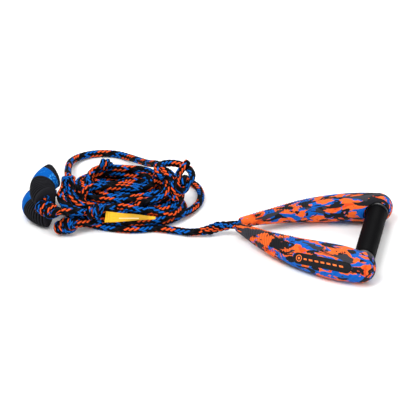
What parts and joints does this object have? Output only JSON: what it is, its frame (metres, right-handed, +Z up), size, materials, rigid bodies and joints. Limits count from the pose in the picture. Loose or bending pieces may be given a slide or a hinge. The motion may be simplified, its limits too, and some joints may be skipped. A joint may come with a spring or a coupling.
{
  "type": "tow rope handle",
  "caption": "Wishbone foam tow handle with a round grip bar on a thick braided rope, wound into a loose hank with curved foam floats and knots.",
  "frame": {"origin": "on the floor under the middle of the handle, halfway from the rope's entry at the nose to the arms' round ends", "axes": "+X from the rope towards the grip bar, +Y along the grip bar, +Z up from the floor"},
  "size_m": [0.5826, 0.3531, 0.093],
  "materials": {
    "camo_foam": "moulded EVA foam marbled in orange, blue, grey and black",
    "rope_braid": "hollow braid in black with orange and blue flecks",
    "badge_rubber": "matt moulded rubber",
    "bar_aluminium": "drawn tube",
    "grip_rubber": "smooth black grip sleeve",
    "cap_plastic": "dark grey moulded plastic",
    "label_webbing": "yellow woven label with stitched end",
    "float_foam": "ribbed black EVA foam",
    "float_band": "textured blue EVA foam"
  },
  "bodies": {
    "rope": {"rope_hank": "rope_braid", "rope_lead": "rope_braid", "rope_arch": "rope_braid", "boat_loop": "rope_braid", "small_loop": "rope_braid", "rope_tail": "rope_braid", "rope_link": "rope_braid", "rope_strap": "rope_braid", "second_strap": "rope_braid", "rope_tether": "rope_braid", "upper_float_rope": "rope_braid", "lower_float_rope": "rope_braid", "upper_knot": "rope_braid", "front_knot": "rope_braid", "lower_knot": "rope_braid", "top_knot": "rope_braid", "loop_knot": "rope_braid", "sewn_label": "label_webbing", "bridle_splice": "rope_braid"},
    "handle": {"rear_arm_foam": "camo_foam", "front_arm_foam": "camo_foam", "bridle_rope": "rope_braid", "badge_patch": "badge_rubber"},
    "bar": {"bar_tube": "bar_aluminium", "bar_grip": "grip_rubber", "rear_bar_cap": "cap_plastic", "front_bar_cap": "cap_plastic"},
    "upper_float": {"upper_float_tip": "float_foam", "upper_float_band": "float_band", "upper_float_grip": "float_foam"},
    "lower_float": {"lower_float_tip": "float_foam", "lower_float_band": "float_band", "lower_float_grip": "float_foam"}
  },
  "joints": [
    {"name": "handle_lift", "type": "hinge", "parent": "rope", "child": "handle", "pos_m": [-0.14, 0, 0.0145], "axis": [0, -1, 0], "range_deg": [0, 75], "deforming": ["bridle_splice"]},
    {"name": "bar_spin", "type": "hinge", "parent": "handle", "child": "bar", "pos_m": [0.0923, 0, 0.0231], "axis": [0, 1, 0], "continuous": true},
    {"name": "upper_float_slide", "type": "hinge", "parent": "rope", "child": "upper_float", "pos_m": [-0.387, -0.023, 0.066], "axis": [0, -0.2588, 0.9659], "range_deg": [-4, 4]},
    {"name": "lower_float_slide", "type": "hinge", "parent": "rope", "child": "lower_float", "pos_m": [-0.41, 0.004, 0.0205], "axis": [0, 0, 1], "range_deg": [-4, 4]}
  ]
}
